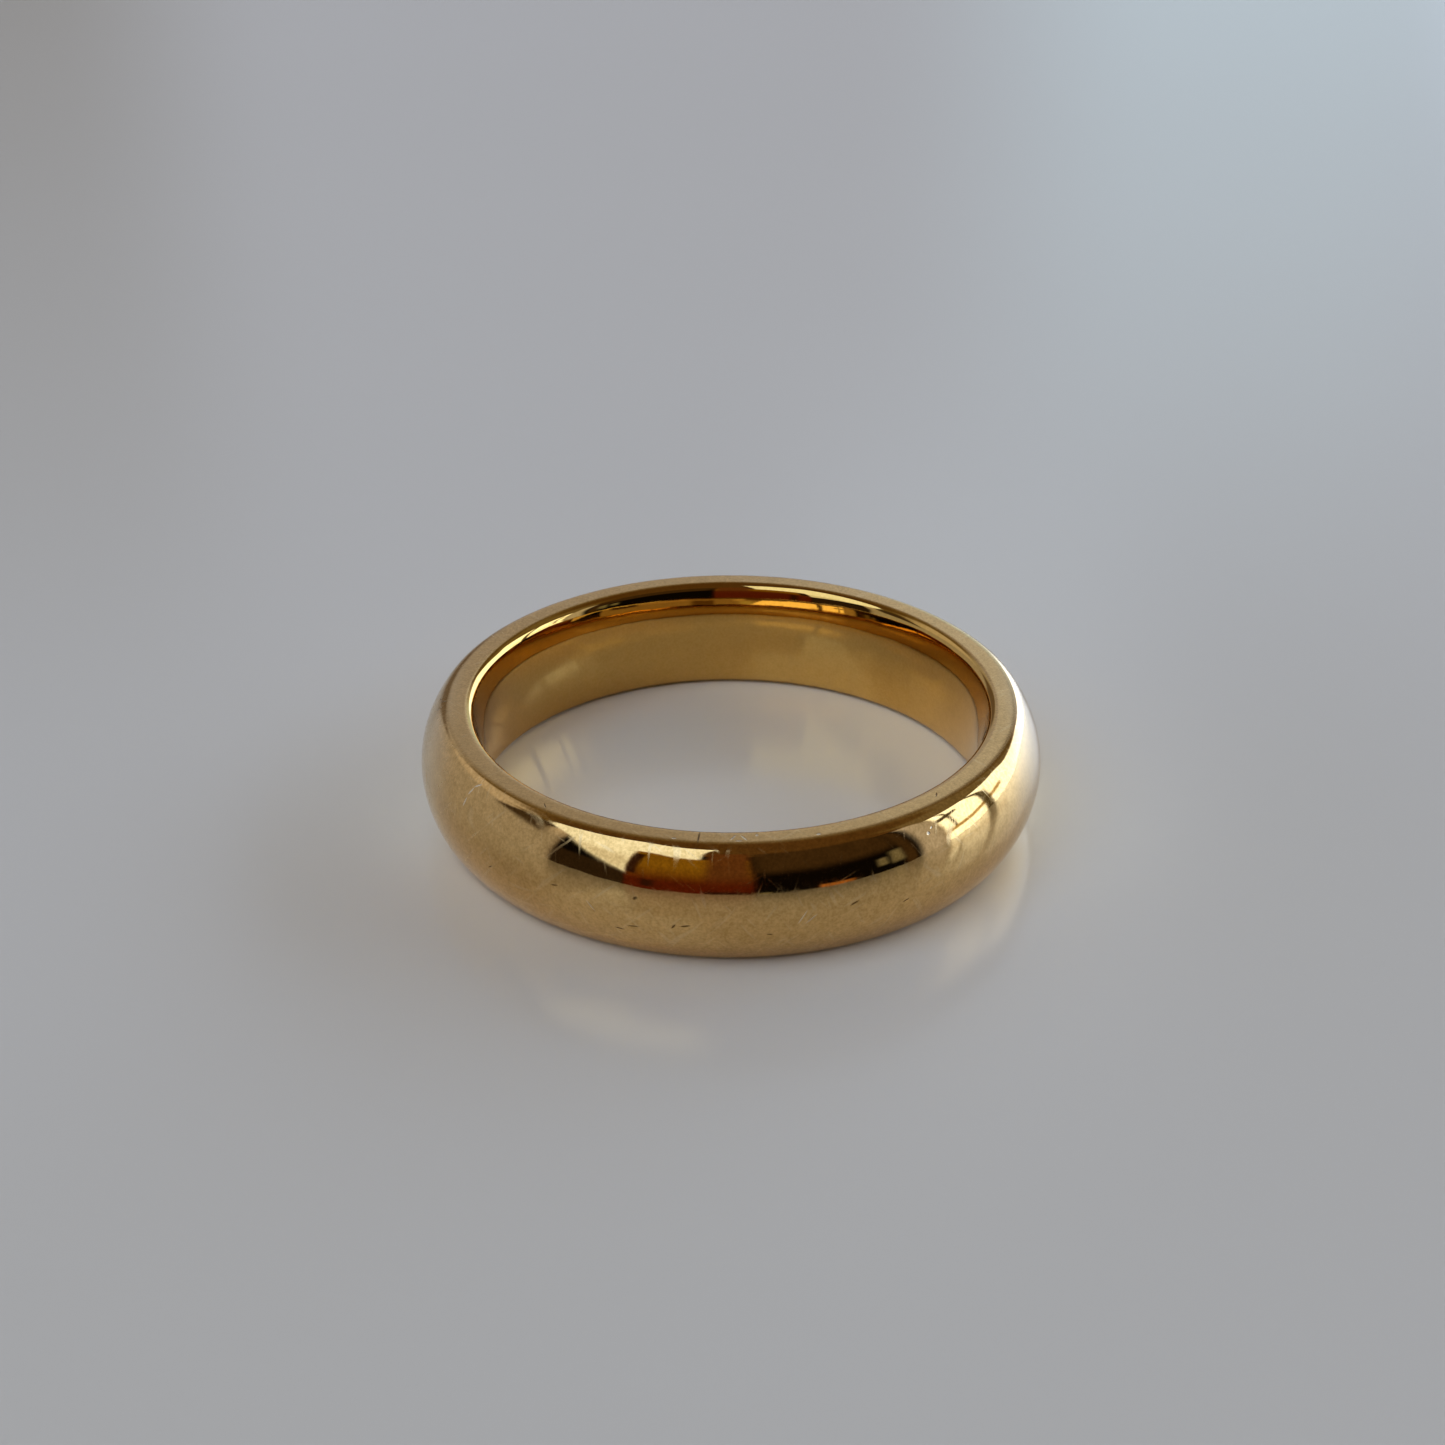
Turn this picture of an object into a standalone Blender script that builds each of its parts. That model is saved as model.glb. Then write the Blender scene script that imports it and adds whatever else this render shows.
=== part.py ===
"""Plain court-shaped wedding band, 4 mm wide, lying flat.

One piece of solid metal turned about +Z: a domed outside, a narrow flat rim at
the top and at the bottom, and an inside that bulges gently towards the finger
(a comfort fit). Metres, +Z up. The origin is the centre of the bottom rim, so
the band stands on the plane z = 0.
"""

import math

import bpy

# Driving dimensions, in metres.
BAND_WIDTH = 0.0040           # across the finger's length, which is the height when it lies flat
OUTER_RADIUS = 0.01025        # crest of the dome
BORE_RADIUS = 0.00822         # tightest point of the finger hole, at half the width
DOME_ARC_RADIUS = 0.00292     # curve of the outside, seen in section
BORE_ARC_RADIUS = 0.00650     # curve of the inside, seen in section
OUTER_EDGE_RADIUS = 0.00055   # rounding between the dome and a rim
INNER_EDGE_RADIUS = 0.00033   # rounding between the bore and a rim

# How finely the round stretches are divided.
DOME_SEGMENTS = 12
BORE_SEGMENTS = 6
OUTER_EDGE_SEGMENTS = 4
INNER_EDGE_SEGMENTS = 3
TURN_STEPS = 96

GOLD_COLOUR = (0.77, 0.46, 0.15, 1.0)
GOLD_ROUGHNESS = 0.12
GOLD_METALLIC = 1.0

MERGE_DISTANCE = 0.00001
SHARP_ANGLE = math.radians(40.0)
HALF_WIDTH = BAND_WIDTH / 2.0


def arc(centre, radius, start, end, segments):
    """Points of an arc in the (radius, height) plane, both ends included."""
    points = []
    for step in range(segments + 1):
        angle = start + (end - start) * step / segments
        x = centre[0] + radius * math.cos(angle)
        z = centre[1] + radius * math.sin(angle)
        points.append((x, z))
    return points


def outer_upper_half():
    """From the top rim's outer edge, round the edge and down the dome to its crest."""
    dome_centre = OUTER_RADIUS - DOME_ARC_RADIUS
    edge_height = HALF_WIDTH - OUTER_EDGE_RADIUS
    reach = DOME_ARC_RADIUS - OUTER_EDGE_RADIUS
    blend_angle = math.asin(edge_height / reach)
    edge_centre = dome_centre + reach * math.cos(blend_angle)
    edge = arc((edge_centre, edge_height), OUTER_EDGE_RADIUS,
               math.pi / 2.0, blend_angle, OUTER_EDGE_SEGMENTS)
    dome = arc((dome_centre, 0.0), DOME_ARC_RADIUS, blend_angle, 0.0, DOME_SEGMENTS // 2)
    return edge + dome[1:]


def bore_upper_half():
    """From the bore's tightest point up its curve and round the edge to the top rim."""
    bore_centre = BORE_RADIUS + BORE_ARC_RADIUS
    edge_height = HALF_WIDTH - INNER_EDGE_RADIUS
    reach = BORE_ARC_RADIUS - INNER_EDGE_RADIUS
    blend_angle = math.pi - math.asin(edge_height / reach)
    edge_centre = bore_centre + reach * math.cos(blend_angle)
    bore = arc((bore_centre, 0.0), BORE_ARC_RADIUS, math.pi, blend_angle, BORE_SEGMENTS // 2)
    edge = arc((edge_centre, edge_height), INNER_EDGE_RADIUS,
               blend_angle, math.pi / 2.0, INNER_EDGE_SEGMENTS)
    return bore + edge[1:]


def mirrored(points):
    """The same stretch below half height, in the opposite order."""
    return [(x, -z) for x, z in reversed(points)]


def section():
    """The closed section: down the outside, then up the inside."""
    outside_top = outer_upper_half()
    outside = outside_top + mirrored(outside_top)[1:]
    inside_top = bore_upper_half()
    inside = mirrored(inside_top) + inside_top[1:]
    return outside + inside


def turned(name, points):
    """A closed section at +X turned once about +Z, standing on z = 0."""
    vertices = [(x, 0.0, z + HALF_WIDTH) for x, z in points]
    count = len(vertices)
    edges = [(index, (index + 1) % count) for index in range(count)]
    mesh = bpy.data.meshes.new(name)
    mesh.from_pydata(vertices, edges, [])
    item = bpy.data.objects.new(name, mesh)
    screw = item.modifiers.new("turn", 'SCREW')
    screw.axis = 'Z'
    screw.angle = 2.0 * math.pi
    screw.steps = TURN_STEPS
    screw.render_steps = TURN_STEPS
    screw.use_merge_vertices = True
    screw.merge_threshold = MERGE_DISTANCE
    screw.use_smooth_shade = True
    return item


def applied(item):
    """The object with its modifiers turned into a plain, smooth-shaded mesh."""
    bpy.context.view_layer.update()
    graph = bpy.context.evaluated_depsgraph_get()
    mesh = bpy.data.meshes.new_from_object(item.evaluated_get(graph))
    mesh.name = item.name
    item.modifiers.clear()
    item.data = mesh
    mesh.shade_smooth()
    mesh.set_sharp_from_angle(angle=SHARP_ANGLE)


def gold():
    """Polished yellow gold."""
    material = bpy.data.materials.new("yellow_gold")
    material.use_nodes = True
    shader = material.node_tree.nodes["Principled BSDF"]
    shader.inputs["Base Color"].default_value = GOLD_COLOUR
    shader.inputs["Roughness"].default_value = GOLD_ROUGHNESS
    shader.inputs["Metallic"].default_value = GOLD_METALLIC
    return material


def build():
    """Clear the scene and make the band in a collection of its own."""
    for item in list(bpy.data.objects):
        bpy.data.objects.remove(item, do_unlink=True)
    collection = bpy.data.collections.new("wedding_band")
    bpy.context.scene.collection.children.link(collection)
    band = turned("band", section())
    collection.objects.link(band)
    applied(band)
    band.data.materials.append(gold())


build()
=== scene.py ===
import math
import random

import bpy
from mathutils import Matrix, Vector, noise


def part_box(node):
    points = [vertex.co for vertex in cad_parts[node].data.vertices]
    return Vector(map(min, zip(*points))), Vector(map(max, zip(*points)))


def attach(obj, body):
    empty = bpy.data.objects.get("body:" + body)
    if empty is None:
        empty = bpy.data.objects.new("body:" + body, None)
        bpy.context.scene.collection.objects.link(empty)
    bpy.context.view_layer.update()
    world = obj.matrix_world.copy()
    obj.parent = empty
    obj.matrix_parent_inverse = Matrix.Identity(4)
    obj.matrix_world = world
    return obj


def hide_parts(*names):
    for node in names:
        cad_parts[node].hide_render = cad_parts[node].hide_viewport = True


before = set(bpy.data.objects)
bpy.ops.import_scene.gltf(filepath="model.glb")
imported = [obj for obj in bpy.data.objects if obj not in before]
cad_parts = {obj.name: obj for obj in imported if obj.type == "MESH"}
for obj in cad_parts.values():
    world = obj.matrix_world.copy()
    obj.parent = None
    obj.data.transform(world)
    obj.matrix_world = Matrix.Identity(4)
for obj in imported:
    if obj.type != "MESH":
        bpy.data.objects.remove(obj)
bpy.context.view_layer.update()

MM = 0.001

# ---------------------------------------------------------------- sizes from the frame
low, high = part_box("band")
OUTER_RADIUS = (high.x - low.x) / 2.0
BAND_WIDTH = high.z - low.z
HALF_WIDTH = BAND_WIDTH / 2.0
CENTRE = (low + high) / 2.0

# The section's own shape, as the CAD part has it.
BORE_RADIUS = 8.22 * MM
DOME_ARC_RADIUS = 2.92 * MM
BORE_ARC_RADIUS = 6.50 * MM
OUTER_EDGE_RADIUS = 0.55 * MM
INNER_EDGE_RADIUS = 0.33 * MM

# Fineness of the visible surface.
TURN_STEPS = 768
DOME_SEGMENTS = 52
BORE_SEGMENTS = 30
OUTER_EDGE_SEGMENTS = 8
INNER_EDGE_SEGMENTS = 8
RIM_SEGMENTS = 6

# The radius where a flat rim ends, the radius out to which the bore keeps its darker colour, a painted
# shade, and how far below a rim's plane the rim's satin begins and is full.
RIM_OUTER_RADIUS = 9.20 * MM
BORE_COLOUR_RADIUS = 8.95 * MM
RIM_FADE = (0.030 * MM, 0.008 * MM)

# Surface unevenness: the size of the bumps, and how far they stand proud.
SLOW_BUMP = (2.6 * MM, 0.0040 * MM)
QUICK_BUMP = (0.80 * MM, 0.0012 * MM)
FINE_BUMP = (0.30 * MM, 0.0004 * MM)

# Knocks in the dome: their sizes, their depth as a share of the size, and how many sizes out they end.
DING_SEED = 11
DING_COUNT = 90
DING_SIZE = (0.12 * MM, 0.45 * MM)
DING_DEPTH = (0.004, 0.012)
DING_HEIGHT_LIMIT = 0.9
DING_REACH = 2.5

# Small marks: the dome's tilt in degrees where its edge begins, how deep a mark reaches into the
# surface, and the shares of its half length between which it fades out.
DOME_EDGE_TILT = 37.7
MARK_THICKNESS = 0.12 * MM
MARK_FADE = (0.45, 1.15)

# ---------------------------------------------------------------- camera
CAMERA_DISTANCE = 74.5 * MM
CAMERA_ELEVATION = math.radians(29.33)
CAMERA_LENS = 55.58           # millimetres, for a sensor 36 mm wide
SENSOR_WIDTH = 36.0
CLIP_START = 1.0 * MM
CLIP_END = 20.0
AIM_LEFT = 0.28 * MM
AIM_UP = 0.946 * MM


def add_camera():
    """A phone's short telephoto view, looking down on the band from the front."""
    camera = bpy.data.objects.new("camera", bpy.data.cameras.new("camera"))
    bpy.context.scene.collection.objects.link(camera)
    camera.data.sensor_width = SENSOR_WIDTH
    camera.data.lens = CAMERA_LENS
    camera.data.clip_start = CLIP_START
    camera.data.clip_end = CLIP_END
    back = Vector((0.0, -math.cos(CAMERA_ELEVATION), math.sin(CAMERA_ELEVATION)))
    camera.location = CENTRE + back * CAMERA_DISTANCE
    aim = CENTRE + Vector((-AIM_LEFT, 0.0, AIM_UP))
    camera.rotation_mode = "QUATERNION"
    camera.rotation_quaternion = (aim - camera.location).to_track_quat("-Z", "Y")
    bpy.context.scene.camera = camera


# ---------------------------------------------------------------- the band's surface
def arc(centre, radius, start, end, segments):
    """Points of an arc in the (radius, height) plane with the outward normal's angle."""
    points = []
    for step in range(segments + 1):
        angle = start + (end - start) * step / segments
        x = centre[0] + radius * math.cos(angle)
        z = centre[1] + radius * math.sin(angle)
        points.append((x, z, angle))
    return points


def outer_upper_half():
    """From the top rim's outer edge, round the edge and down the dome to its crest."""
    dome_centre = OUTER_RADIUS - DOME_ARC_RADIUS
    edge_height = HALF_WIDTH - OUTER_EDGE_RADIUS
    reach = DOME_ARC_RADIUS - OUTER_EDGE_RADIUS
    blend_angle = math.asin(edge_height / reach)
    edge_centre = dome_centre + reach * math.cos(blend_angle)
    edge = arc((edge_centre, edge_height), OUTER_EDGE_RADIUS,
               math.pi / 2.0, blend_angle, OUTER_EDGE_SEGMENTS)
    dome = arc((dome_centre, 0.0), DOME_ARC_RADIUS, blend_angle, 0.0, DOME_SEGMENTS // 2)
    return edge + dome[1:]


def bore_upper_half():
    """From the bore's tightest point up its curve and round the edge to the top rim."""
    bore_centre = BORE_RADIUS + BORE_ARC_RADIUS
    edge_height = HALF_WIDTH - INNER_EDGE_RADIUS
    reach = BORE_ARC_RADIUS - INNER_EDGE_RADIUS
    blend_angle = math.pi - math.asin(edge_height / reach)
    edge_centre = bore_centre + reach * math.cos(blend_angle)
    bore = arc((bore_centre, 0.0), BORE_ARC_RADIUS, math.pi, blend_angle, BORE_SEGMENTS // 2)
    edge = arc((edge_centre, edge_height), INNER_EDGE_RADIUS,
               blend_angle, math.pi / 2.0, INNER_EDGE_SEGMENTS)
    return bore + edge[1:]


def mirrored(points):
    """The same stretch below half height, in the opposite order."""
    return [(x, -z, -angle) for x, z, angle in reversed(points)]


def rim(start, end):
    """Points inside a flat rim, between its two edges."""
    points = []
    for step in range(1, RIM_SEGMENTS):
        share = step / RIM_SEGMENTS
        points.append((start[0] + (end[0] - start[0]) * share, start[1], start[2]))
    return points


def section():
    """The closed section: down the outside, along the bottom, up the bore, along the top."""
    outside_top = outer_upper_half()
    outside = outside_top + mirrored(outside_top)[1:]
    bore_top = bore_upper_half()
    inside = mirrored(bore_top) + bore_top[1:]
    bottom = rim(outside[-1], inside[0])
    top = rim(inside[-1], outside[0])
    return outside + bottom + inside + top


def unevenness(point):
    """How far a worn, hand-polished surface stands proud of the true one."""
    slow = noise.noise(point / SLOW_BUMP[0]) * SLOW_BUMP[1]
    quick = noise.noise(point / QUICK_BUMP[0] + Vector((7.0, 3.0, 1.0))) * QUICK_BUMP[1]
    fine = noise.noise(point / FINE_BUMP[0] + Vector((2.0, 9.0, 5.0))) * FINE_BUMP[1]
    return slow + quick + fine


def make_dings():
    """Shallow knocks all over the dome, as (azimuth, height, radius, depth)."""
    draw = random.Random(DING_SEED)
    dings = []
    for _ in range(DING_COUNT):
        azimuth = draw.uniform(-math.pi, math.pi)
        height = draw.uniform(-DING_HEIGHT_LIMIT, DING_HEIGHT_LIMIT) * HALF_WIDTH
        radius = draw.uniform(*DING_SIZE)
        depth = radius * draw.uniform(*DING_DEPTH)
        dings.append((azimuth, height, radius, depth))
    return dings


def dinged(dings, azimuth, height):
    """How far the knocks push the dome in at one place."""
    depth = 0.0
    for ding_azimuth, ding_height, radius, ding_depth in dings:
        up = (height - ding_height) / radius
        if abs(up) > DING_REACH:
            continue
        turn = (azimuth - ding_azimuth + math.pi) % (2.0 * math.pi) - math.pi
        along = turn * OUTER_RADIUS / radius
        if abs(along) < DING_REACH:
            depth += ding_depth * math.exp(-up * up - along * along)
    return depth


def make_band():
    """The band as one closed, finely divided turned surface."""
    points = section()
    count = len(points)
    dings = make_dings()
    vertices = []
    for turn in range(TURN_STEPS):
        angle = 2.0 * math.pi * turn / TURN_STEPS
        outward = Vector((math.cos(angle), math.sin(angle), 0.0))
        for radius, height, tilt in points:
            place = outward * radius + Vector((0.0, 0.0, height))
            normal = outward * math.cos(tilt) + Vector((0.0, 0.0, math.sin(tilt)))
            proud = unevenness(place)
            if radius > RIM_OUTER_RADIUS:
                proud -= dinged(dings, angle, height)
            place += normal * proud
            vertices.append(place + CENTRE)
    faces = []
    for turn in range(TURN_STEPS):
        here = turn * count
        there = (turn + 1) % TURN_STEPS * count
        for index in range(count):
            after = (index + 1) % count
            faces.append((here + index, here + after, there + after, there + index))
    mesh = bpy.data.meshes.new("band_surface")
    mesh.from_pydata(vertices, [], faces)
    mesh.update()
    mesh.shade_smooth()
    band = bpy.data.objects.new("band_surface", mesh)
    bpy.context.scene.collection.objects.link(band)
    return band


# ---------------------------------------------------------------- materials
class Nodes:
    """Short calls for building a node tree."""

    def __init__(self, tree):
        self.tree = tree

    def add(self, kind, **settings):
        node = self.tree.nodes.new(kind)
        for name, value in settings.items():
            setattr(node, name, value)
        return node

    def link(self, source, target):
        self.tree.links.new(source, target)

    def feed(self, target, value):
        if isinstance(value, bpy.types.NodeSocket):
            self.link(value, target)
        else:
            target.default_value = value

    def math(self, operation, first, second=0.0, third=0.0, clamp=False):
        node = self.add("ShaderNodeMath", operation=operation, use_clamp=clamp)
        for socket, value in zip(node.inputs, (first, second, third)):
            self.feed(socket, value)
        return node.outputs[0]

    def ramp(self, value, start, end, low_value=0.0, high_value=1.0):
        node = self.add("ShaderNodeMapRange", interpolation_type="SMOOTHSTEP")
        node.clamp = True
        for socket, number in zip(node.inputs, (value, start, end, low_value, high_value)):
            self.feed(socket, number)
        return node.outputs[0]

    def mix(self, share, first, second):
        node = self.add("ShaderNodeMix", data_type="RGBA")
        self.feed(node.inputs["Factor"], share)
        self.feed(node.inputs[6], first)
        self.feed(node.inputs[7], second)
        return node.outputs[2]

    def stretched(self, coordinates, turn, size):
        """Coordinates in a turned frame, measured in units of a size along each of its axes."""
        node = self.add("ShaderNodeMapping", vector_type="TEXTURE")
        self.link(coordinates, node.inputs["Vector"])
        node.inputs["Rotation"].default_value = turn
        node.inputs["Scale"].default_value = size
        return node.outputs[0]

    def noise(self, coordinates, scale, detail=2.0, roughness=0.5):
        node = self.add("ShaderNodeTexNoise")
        self.link(coordinates, node.inputs["Vector"])
        node.inputs["Scale"].default_value = scale
        node.inputs["Detail"].default_value = detail
        node.inputs["Roughness"].default_value = roughness
        return node.outputs["Fac"]


# Small marks seen on the band. Those on the dome: azimuth from the front and tilt of the surface there,
# both in degrees, then length and width in millimetres, and slant from the band's run in degrees. Those
# on the upper rim have the radius in millimetres in place of the tilt. A bright mark is a real nick whose
# near-white colour is a painted glint, and a dark one has filled with dirt.
DARK_DOME_MARKS = (
    (21.0, 2.0, 0.34, 0.075, 22.0),
    (-19.0, -16.0, 0.34, 0.070, -6.0),
    (-16.5, -12.0, 0.40, 0.065, 8.0),
    (-9.5, -8.0, 0.24, 0.080, 52.0),
    (-7.5, -7.0, 0.36, 0.070, 12.0),
    (-16.0, 8.5, 0.18, 0.100, 30.0),
    (-87.5, 62.0, 0.34, 0.070, 65.0),
    (-89.0, 50.0, 0.26, 0.060, 20.0),
    (-85.5, 48.0, 0.30, 0.060, 70.0),
    (-31.0, 4.0, 0.30, 0.055, 10.0),
    (-46.0, -4.0, 0.26, 0.055, 35.0),
    (6.5, -13.0, 0.24, 0.055, -14.0),
    (31.0, -6.0, 0.28, 0.055, 16.0),
)
DARK_RIM_MARKS = (
    (-6.0, 9.02, 0.70, 0.062, 90.0),
    (44.0, 9.00, 0.26, 0.050, 35.0),
    (-38.0, 9.10, 0.30, 0.050, -40.0),
)
BRIGHT_DOME_MARKS = (
    (-55.5, 25.0, 0.36, 0.060, 82.0),
    (-55.0, 33.0, 0.36, 0.060, 66.0),
    (-54.0, 40.0, 0.36, 0.060, 40.0),
    (37.0, 30.5, 0.13, 0.110, 0.0),
    (38.0, 33.0, 0.10, 0.060, 30.0),
    (12.0, -2.0, 0.60, 0.040, 58.0),
    (13.5, -4.0, 0.50, 0.036, 40.0),
    (-24.0, -3.0, 0.46, 0.036, -48.0),
)
BRIGHT_RIM_MARKS = (
    (-10.5, 9.17, 0.16, 0.090, 0.0),
    (0.5, 8.97, 0.36, 0.070, 60.0),
    (1.5, 9.16, 0.24, 0.070, 0.0),
    (2.5, 9.00, 0.36, 0.070, -60.0),
    (5.0, 8.87, 0.14, 0.100, 80.0),
    (16.5, 9.14, 0.16, 0.120, 10.0),
)


def mark_frame(azimuth, tilt, slant, centre_radius, height):
    """Place and turn of a mark: x along it, y across it and z out of the surface."""
    around = math.radians(azimuth)
    up = math.radians(tilt)
    outward = Vector((math.sin(around), -math.cos(around), 0.0))
    run = Vector((math.cos(around), math.sin(around), 0.0))
    normal = outward * math.cos(up) + Vector((0.0, 0.0, math.sin(up)))
    side = normal.cross(run)
    lean = math.radians(slant)
    along = run * math.cos(lean) + side * math.sin(lean)
    across = normal.cross(along)
    place = CENTRE + outward * centre_radius + Vector((0.0, 0.0, height))
    turn = Matrix((along, across, normal)).transposed().to_euler()
    return place, turn


def marks(nodes, place, dome_marks, rim_marks):
    """1 on each small mark, 0 elsewhere."""
    frames = []
    for azimuth, tilt, length, width, slant in dome_marks:
        up = math.radians(tilt)
        radius = OUTER_RADIUS - DOME_ARC_RADIUS * (1.0 - math.cos(up))
        height = DOME_ARC_RADIUS * math.sin(up)
        if tilt > DOME_EDGE_TILT:
            radius = RIM_OUTER_RADIUS + OUTER_EDGE_RADIUS * math.cos(up)
            height = HALF_WIDTH - OUTER_EDGE_RADIUS * (1.0 - math.sin(up))
        frames.append((mark_frame(azimuth, tilt, slant, radius, height), length, width))
    for azimuth, radius, length, width, slant in rim_marks:
        frames.append((mark_frame(azimuth, 90.0, slant, radius * MM, HALF_WIDTH), length, width))
    total = 0.0
    for (centre, turn), length, width in frames:
        local = nodes.add("ShaderNodeMapping", vector_type="TEXTURE")
        nodes.link(place, local.inputs["Vector"])
        local.inputs["Location"].default_value = centre
        local.inputs["Rotation"].default_value = turn
        local.inputs["Scale"].default_value = (length * MM / 2.0, width * MM / 2.0, MARK_THICKNESS)
        reach = nodes.add("ShaderNodeVectorMath", operation="LENGTH")
        nodes.link(local.outputs[0], reach.inputs[0])
        here = nodes.ramp(reach.outputs["Value"], *MARK_FADE, 1.0, 0.0)
        total = nodes.math("MAXIMUM", total, here)
    return total


# Sheets of hairlines: how each is turned, in radians, and the width and length of its lines.
HAIRLINE_SHEETS = (
    ((0.0, 0.50, 0.80), 0.13 * MM, 1.5 * MM),
    ((0.0, -0.60, 0.70), 0.12 * MM, 1.2 * MM),
    ((0.0, 0.75, -0.80), 0.14 * MM, 1.8 * MM),
    ((0.0, -0.35, -0.70), 0.11 * MM, 1.0 * MM),
)
HAIRLINE_LEVELS = (0.66, 0.76)  # only the peaks of the stretched noise make a line


def hairlines(nodes, place):
    """1 on fine polishing and wear scratches, short and straight, in four crossing directions."""
    total = 0.0
    for turn, width, length in HAIRLINE_SHEETS:
        level = nodes.noise(nodes.stretched(place, turn, (width, length, length)), 1.0, 1.0)
        total = nodes.math("MAXIMUM", total, nodes.ramp(level, *HAIRLINE_LEVELS))
    return total


# The gold's colours.
LIGHT_GOLD = (0.81, 0.512, 0.196, 1.0)
DEEP_GOLD = (0.555, 0.342, 0.116, 1.0)
# The bore's deeper, darker gold is painted shade inside the band.
BORE_GOLD_PAINTED_SHADE = (0.645, 0.390, 0.092, 1.0)
RIM_GOLD = (0.84, 0.64, 0.36, 1.0)
# Painted sheen: the band's left and right sides, as the camera sees them, are made paler with this gold.
PAINTED_SHEEN_GOLD = (0.85, 0.70, 0.46, 1.0)
SCRATCHED_GOLD = (0.88, 0.68, 0.38, 1.0)
DIRT = (0.14, 0.07, 0.02, 1.0)
# The bright nicks' near-white colour is a painted glint.
NICK_GLINT_PAINTED = (0.98, 0.92, 0.76, 1.0)

# Scales of the noises, in bumps to a metre, and their levels where each effect sets in and is full.
CLOUD_SCALE = 300.0
CLOUD_LEVELS = (0.40, 0.68)
SPECK_SCALE = 7000.0
SPECK_LEVELS = (0.40, 0.70)
MOTTLE_SCALE = 3600.0
GRAIN_SCALE = 11000.0
COLOUR_LEVELS = (0.3, 0.7)

# How far out the painted sheen on the sides begins and is full, and where along X the hazy left side is
# full and ends.
PAINTED_SHEEN_SIDES = (0.84 * OUTER_RADIUS, 1.0 * OUTER_RADIUS)
HAZY_SIDE = (-1.02 * OUTER_RADIUS, -0.35 * OUTER_RADIUS)

POLISHED_ROUGHNESS = 0.040
RIM_ROUGHNESS = 0.25
MARK_ROUGHNESS = 0.42
RELIEF_HEIGHT = 0.003 * MM


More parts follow.
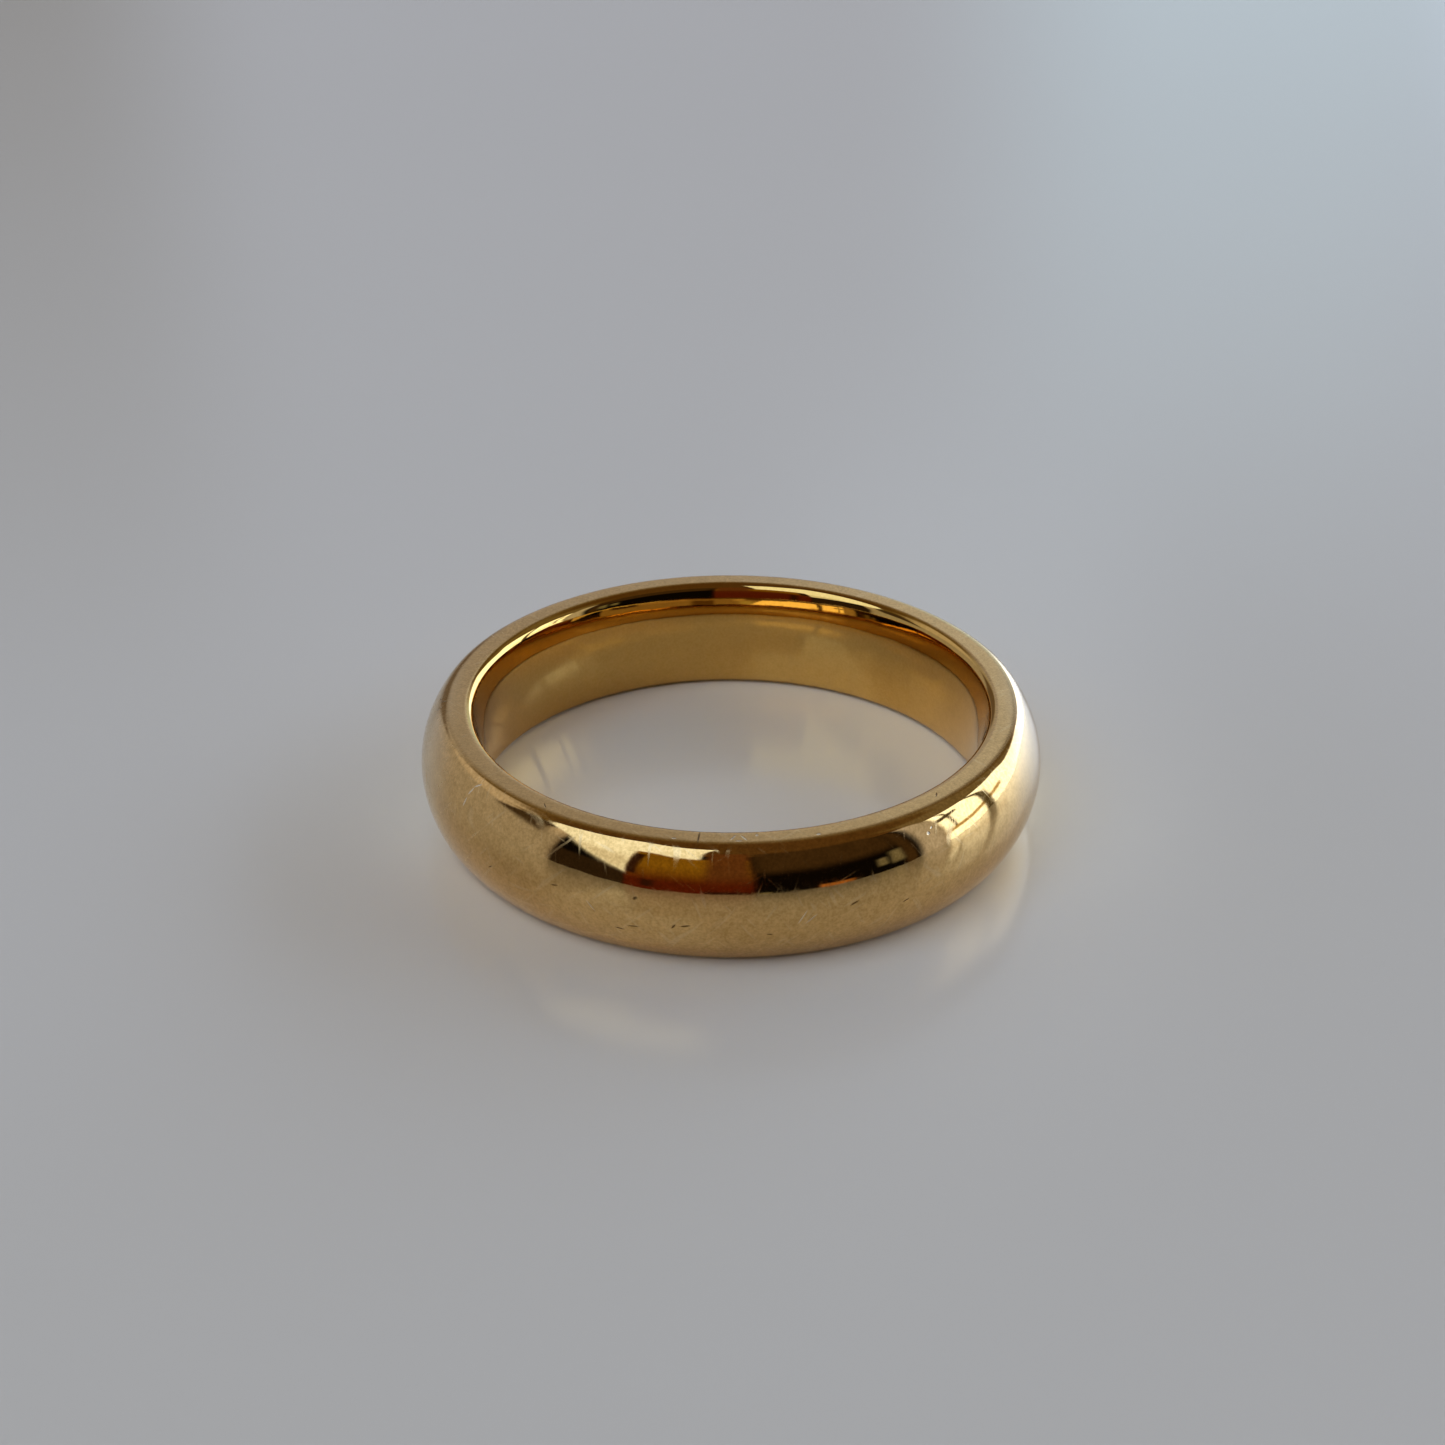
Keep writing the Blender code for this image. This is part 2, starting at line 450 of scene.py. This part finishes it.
def gold():
    """Yellow gold: a polished dome and bore, satin rims, haze, hairlines and small marks."""
    material = bpy.data.materials.new("polished_gold")
    material.use_nodes = True
    nodes = Nodes(material.node_tree)
    shader = material.node_tree.nodes["Principled BSDF"]
    shader.inputs["Metallic"].default_value = 1.0
    place = nodes.add("ShaderNodeTexCoord").outputs["Object"]
    parts = nodes.add("ShaderNodeSeparateXYZ")
    nodes.link(place, parts.inputs[0])

    off_centre = nodes.math("ABSOLUTE", nodes.math("SUBTRACT", parts.outputs["Z"], CENTRE.z))
    on_rim = nodes.ramp(off_centre, HALF_WIDTH - RIM_FADE[0], HALF_WIDTH - RIM_FADE[1])
    flat = nodes.add("ShaderNodeVectorMath", operation="MULTIPLY")
    nodes.link(place, flat.inputs[0])
    flat.inputs[1].default_value = (1.0, 1.0, 0.0)
    radius = nodes.add("ShaderNodeVectorMath", operation="LENGTH")
    nodes.link(flat.outputs[0], radius.inputs[0])
    on_dome = nodes.ramp(radius.outputs["Value"], BORE_COLOUR_RADIUS, RIM_OUTER_RADIUS)
    outside = nodes.math("MAXIMUM", on_rim, on_dome)
    dark_mark = marks(nodes, place, DARK_DOME_MARKS, DARK_RIM_MARKS)
    bright_mark = marks(nodes, place, BRIGHT_DOME_MARKS, BRIGHT_RIM_MARKS)
    mark = nodes.math("MAXIMUM", dark_mark, bright_mark)
    hairline = nodes.math("MULTIPLY", hairlines(nodes, place), outside)
    cloud = nodes.ramp(nodes.noise(place, CLOUD_SCALE, 3.0), *CLOUD_LEVELS)
    speck = nodes.ramp(nodes.noise(place, SPECK_SCALE, 2.0, 0.5), *SPECK_LEVELS)
    mottle = nodes.noise(place, MOTTLE_SCALE, 3.0, 0.6)
    grain = nodes.noise(place, GRAIN_SCALE, 2.0, 0.6)

    # Colour: each effect covers what came before it by its own share.
    share = nodes.math("MULTIPLY", nodes.ramp(mottle, *COLOUR_LEVELS), 0.4)
    share = nodes.math("MULTIPLY_ADD", nodes.ramp(grain, *COLOUR_LEVELS), 0.6, share)
    colour = nodes.mix(share, LIGHT_GOLD, DEEP_GOLD)
    # Painted shade: the bore is mixed towards a darker, deeper gold.
    share = nodes.math("MULTIPLY_ADD", outside, 0.65, 0.35)
    colour = nodes.mix(share, BORE_GOLD_PAINTED_SHADE, colour)
    colour = nodes.mix(nodes.math("MULTIPLY", on_rim, 0.16), colour, RIM_GOLD)
    # Painted sheen: paler gold mixed in on the left and right sides, by distance along X.
    side = nodes.math("ABSOLUTE", parts.outputs["X"])
    pale = nodes.math("MULTIPLY", nodes.ramp(side, *PAINTED_SHEEN_SIDES), outside)
    colour = nodes.mix(nodes.math("MULTIPLY", pale, 0.72), colour, PAINTED_SHEEN_GOLD)
    colour = nodes.mix(nodes.math("MULTIPLY", hairline, 0.22), colour, SCRATCHED_GOLD)
    colour = nodes.mix(nodes.math("MULTIPLY", dark_mark, 0.85), colour, DIRT)
    # Painted glint: the bright marks are mixed towards near-white.
    colour = nodes.mix(nodes.math("MULTIPLY", bright_mark, 0.62), colour, NICK_GLINT_PAINTED)
    nodes.link(colour, shader.inputs["Base Color"])

    # Roughness: haze and hairlines add to the polish; the rims and the marks have their own.
    hazy_side = nodes.ramp(parts.outputs["X"], *HAZY_SIDE, 1.0, 0.0)
    haze = nodes.math("MAXIMUM", nodes.math("MULTIPLY", cloud, 0.45), hazy_side)
    haze = nodes.math("MULTIPLY", haze, outside)
    hazy_speck = nodes.math("MULTIPLY", speck, haze)
    roughness = nodes.math("MULTIPLY_ADD", hazy_speck, 0.16, POLISHED_ROUGHNESS)
    roughness = nodes.math("MULTIPLY_ADD", haze, 0.05, roughness)
    roughness = nodes.math("MULTIPLY_ADD", hairline, 0.12, roughness)
    roughness = nodes.math("MAXIMUM", roughness, nodes.math("MULTIPLY", on_rim, RIM_ROUGHNESS))
    roughness = nodes.math("MAXIMUM", roughness, nodes.math("MULTIPLY", mark, MARK_ROUGHNESS))
    nodes.link(roughness, shader.inputs["Roughness"])

    # Relief, in units of RELIEF_HEIGHT: hairlines and marks are cut in.
    relief = nodes.math("MULTIPLY", mottle, 0.16)
    relief = nodes.math("MULTIPLY_ADD", grain, 0.05, relief)
    relief = nodes.math("MULTIPLY_ADD", hairline, -0.02, relief)
    relief = nodes.math("MULTIPLY_ADD", mark, -1.6, relief)
    bump = nodes.add("ShaderNodeBump")
    bump.inputs["Strength"].default_value = 1.0
    bump.inputs["Distance"].default_value = RELIEF_HEIGHT
    nodes.link(relief, bump.inputs["Height"])
    nodes.link(bump.outputs["Normal"], shader.inputs["Normal"])
    return material


def tabletop():
    """A pale satin lacquer."""
    material = bpy.data.materials.new("pale_satin")
    material.use_nodes = True
    nodes = Nodes(material.node_tree)
    shader = material.node_tree.nodes["Principled BSDF"]
    shader.inputs["Base Color"].default_value = (0.625, 0.610, 0.563, 1.0)
    shader.inputs["Roughness"].default_value = 0.18
    shader.inputs["IOR"].default_value = 1.5
    return material


# ---------------------------------------------------------------- floor and light
FLOOR_SIZE = 3.0
FLOOR_FRONT = -62.0 * MM      # the near edge, just out of the camera's view
FLOOR_GAP = 0.01 * MM         # clearance below the band


def add_floor():
    """A plain pale tabletop under the band, with its near edge just out of the camera's view."""
    place = (0.0, FLOOR_FRONT + FLOOR_SIZE / 2.0, low.z - FLOOR_GAP)
    bpy.ops.mesh.primitive_plane_add(size=FLOOR_SIZE, location=place)
    floor = bpy.context.object
    floor.name = "floor"
    floor.data.materials.append(tabletop())


# The brightness of the walls, lights and cards that the band mirrors.
WALL = (0.41, 0.42, 0.47, 1.0)
COVE = (0.17, 0.130, 0.058, 1.0)
CEILING = (0.105, 0.060, 0.022, 1.0)
BACKDROP = (0.37, 0.373, 0.380, 1.0)
DARK = (0.004, 0.003, 0.002, 1.0)
BROWN = (0.055, 0.034, 0.016, 1.0)
DARK_BROWN = (0.030, 0.020, 0.012, 1.0)
SHADE = (0.065, 0.048, 0.030, 1.0)
AMBER = (0.26, 0.150, 0.012, 1.0)
RUST = (0.095, 0.016, 0.004, 1.0)
SIDE_RUST = (0.13, 0.055, 0.020, 1.0)
FOLD = (0.030, 0.010, 0.005, 1.0)
ORANGE = (0.42, 0.18, 0.06, 1.0)
LEFT_LIGHT = (1.30, 1.60, 2.10, 1.0)
LEFT_LIGHT_LOW = (0.95, 1.10, 1.30, 1.0)
RIGHT_LIGHT = (2.3, 2.8, 3.7, 1.0)
RAIL = (0.70, 0.56, 0.28, 1.0)
POST = (0.10, 0.085, 0.05, 1.0)
LINTEL = (0.20, 0.17, 0.11, 1.0)
RIGHT_WALL = (0.56, 0.60, 0.76, 1.0)
BACK_SHADE = (0.15, 0.12, 0.09, 1.0)
BEAM = (0.14, 0.105, 0.05, 1.0)
BACK_LIGHT = (0.66, 0.84, 0.96, 1.0)
BACK_GLOW = (0.72, 0.80, 0.90, 1.0)
UPPER_LEFT_WALL = (0.60, 0.60, 0.66, 1.0)
PALE = (0.20, 0.205, 0.17, 1.0)

EDGE = 1.2                    # half the width of a card's soft edge, in degrees

# How much brighter the left and right cards are for light that the gold throws on the table.
LEFT_THROW = 5.0
RIGHT_THROW = 3.4

# How much brighter the cards in front and on the left, on the right, and behind on the left are for the
# table's own light.
FRONT_FILL = 1.15
RIGHT_FILL = 3.25
BACK_FILL = 2.7


def add_studio():
    """Soft lights and dark cards all round, as directions in degrees.

    Azimuth 0 is towards the camera and grows towards +X; elevation is above the horizon. A card is
    given by its left and right azimuths and its bottom and top elevations, and later cards cover
    earlier ones.
    """
    world = bpy.data.worlds.new("studio")
    bpy.context.scene.world = world
    world.use_nodes = True
    tree = world.node_tree
    tree.nodes.clear()
    nodes = Nodes(tree)
    split = nodes.add("ShaderNodeSeparateXYZ")
    nodes.link(nodes.add("ShaderNodeTexCoord").outputs["Generated"], split.inputs[0])
    to_camera = nodes.math("MULTIPLY", split.outputs["Y"], -1.0)
    azimuth = nodes.math("DEGREES", nodes.math("ARCTAN2", split.outputs["X"], to_camera))
    elevation = nodes.math("DEGREES", nodes.math("ARCSINE", split.outputs["Z"]))

    def patch(left, right, bottom, top, edge=EDGE, slope=0.0, lean=0.0):
        """1 inside a rectangle of directions; slope tilts its bottom edge and lean its right edge."""
        level = nodes.math("MULTIPLY_ADD", azimuth, -slope, elevation) if slope else elevation
        turn = nodes.math("MULTIPLY_ADD", elevation, lean, azimuth) if lean else azimuth
        sides = nodes.math("MULTIPLY", nodes.ramp(azimuth, left - edge, left + edge),
                           nodes.ramp(turn, right - edge, right + edge, 1.0, 0.0))
        ends = nodes.math("MULTIPLY", nodes.ramp(level, bottom - edge, bottom + edge),
                          nodes.ramp(elevation, top - edge, top + edge, 1.0, 0.0))
        return nodes.math("MULTIPLY", sides, ends)

    colour = nodes.mix(nodes.ramp(elevation, 33.0, 40.0), WALL, COVE)
    colour = nodes.mix(nodes.ramp(elevation, 42.0, 66.0), colour, CEILING)
    warm = nodes.mix(nodes.ramp(elevation, 6.0, 28.0), RUST, AMBER)
    side_warm = nodes.mix(nodes.ramp(elevation, 4.0, 22.0), RUST, SIDE_RUST)
    for mask, tint in (
        # left: the brighter upper part of the wall, and a soft dark card before it
        (patch(-142.0, -62.0, 28.0, 40.0, 5.0), UPPER_LEFT_WALL),
        (patch(-142.0, -106.0, 28.0, 50.0, 5.0), UPPER_LEFT_WALL),
        (patch(-97.0, -73.0, 22.0, 46.0, 3.0), SHADE),
        # behind the camera: a dark card with a warm block in it
        (patch(-64.0, 75.0, -30.0, 60.0, 4.0), CEILING),
        (patch(-64.0, 70.0, -30.0, 42.0), DARK),
        (patch(9.0, 62.0, 21.0, 50.0, 5.0), BROWN),
        (patch(-64.0, -36.0, -30.0, 16.0, 2.0), DARK_BROWN),
        # front left: the large light, with a sloping bottom edge
        (patch(-98.0, -12.0, -13.5, 76.0, EDGE, -0.70), LEFT_LIGHT),
        (patch(-66.0, -36.0, -13.5, 30.0, 4.0, -0.70), LEFT_LIGHT_LOW),
        # front: the warm block, lighter towards its top, with dark and pale strips along its edges
        (patch(-36.0, 7.0, -30.0, 37.0, 1.0), warm),
        (patch(-9.0, 7.0, -30.0, 52.0, 2.5), side_warm),
        (patch(-35.6, -31.5, 13.0, 34.0, 1.0), FOLD),
        (patch(-30.0, -26.5, 1.0, 9.0, 1.5), FOLD),
        (patch(-9.0, 6.0, -6.0, 0.0, 1.0), FOLD),
        (patch(30.0, 42.0, -4.0, 0.6, 0.6), ORANGE),
        (patch(8.0, 14.0, -6.0, -1.6, 0.5), PALE),
        # front right: small pale cards, a brown one, and a bright strip beside the light
        (patch(51.5, 55.0, 5.0, 13.0, 1.4), PALE),
        (patch(57.0, 62.0, 4.0, 17.0, 1.8), PALE),
        (patch(62.0, 66.5, -6.0, 40.0, 1.5), BROWN),
        (patch(69.5, 79.0, -30.0, 40.0, 2.5), RIGHT_WALL),
        # right: the large light, crossed by dark posts and a rail, with dim cards above it
        (patch(79.0, 150.0, 30.0, 52.0, 3.0), LINTEL),
        (patch(80.5, 168.0, -30.0, 32.0, EDGE, 0.0, 0.6), RIGHT_LIGHT),
        (patch(130.0, 152.0, 26.0, 52.0, 2.0), LINTEL),
        (patch(80.5, 91.0, 20.5, 23.5, 0.6), POST),
        (patch(84.8, 86.4, 8.0, 32.0, 0.5), POST),
        (patch(80.0, 113.0, 6.0, 8.8, 0.8), RAIL),
        (patch(101.2, 105.0, -30.0, 33.0, 0.8), POST),
        # behind the band: a shade on the left, a dim card and two soft lights on the right
        (patch(-166.0, -146.0, 1.0, 26.0, 3.0), BACK_SHADE),
        (patch(146.0, 167.0, 27.0, 46.0, 2.5), BEAM),
        (patch(161.0, 173.0, 0.0, 22.0, 4.0), BACK_LIGHT),
        (patch(169.0, 178.0, 22.0, 34.0, 2.5), BACK_GLOW),
    ):
        colour = nodes.mix(mask, colour, tint)

    # Light that the gold throws on the table, and the table's own light, see stronger cards. The camera
    # sees a plain backdrop instead of the cards.
    path = nodes.add("ShaderNodeLightPath")
    studio = nodes.add("ShaderNodeBackground")
    nodes.link(colour, studio.inputs["Color"])
    after_floor = nodes.math("GREATER_THAN", path.outputs["Diffuse Depth"], 0.5)
    thrown = nodes.math("MULTIPLY", after_floor,
                        nodes.math("SUBTRACT", 1.0, path.outputs["Is Diffuse Ray"]))
    left_gain = nodes.math("MULTIPLY", nodes.ramp(azimuth, -104.0, -98.0),
                           nodes.ramp(azimuth, -12.0, -6.0, LEFT_THROW - 1.0, 0.0))
    right_gain = nodes.math("MULTIPLY", nodes.ramp(azimuth, 76.0, 82.0),
                            nodes.ramp(azimuth, 166.0, 172.0, RIGHT_THROW - 1.0, 0.0))
    gain = nodes.math("ADD", left_gain, right_gain)
    strength = nodes.math("MULTIPLY_ADD", thrown, gain, 1.0)
    fill = nodes.ramp(azimuth, 76.0, 82.0, FRONT_FILL - 1.0, RIGHT_FILL - 1.0)
    fill = nodes.math("ADD", fill, nodes.ramp(azimuth, -152.0, -146.0, BACK_FILL - FRONT_FILL, 0.0))
    strength = nodes.math("MULTIPLY_ADD", path.outputs["Is Diffuse Ray"], fill, strength)
    nodes.link(strength, studio.inputs["Strength"])
    backdrop = nodes.add("ShaderNodeBackground")
    backdrop.inputs["Color"].default_value = BACKDROP
    either = nodes.add("ShaderNodeMixShader")
    nodes.link(path.outputs["Is Camera Ray"], either.inputs["Fac"])
    nodes.link(studio.outputs[0], either.inputs[1])
    nodes.link(backdrop.outputs[0], either.inputs[2])
    nodes.link(either.outputs[0], nodes.add("ShaderNodeOutputWorld").inputs["Surface"])


# ---------------------------------------------------------------- the scene
bpy.context.scene.view_settings.view_transform = "Standard"
add_camera()
add_floor()
add_studio()
surface = make_band()
surface.data.materials.append(gold())
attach(surface, "root")
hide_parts("band")
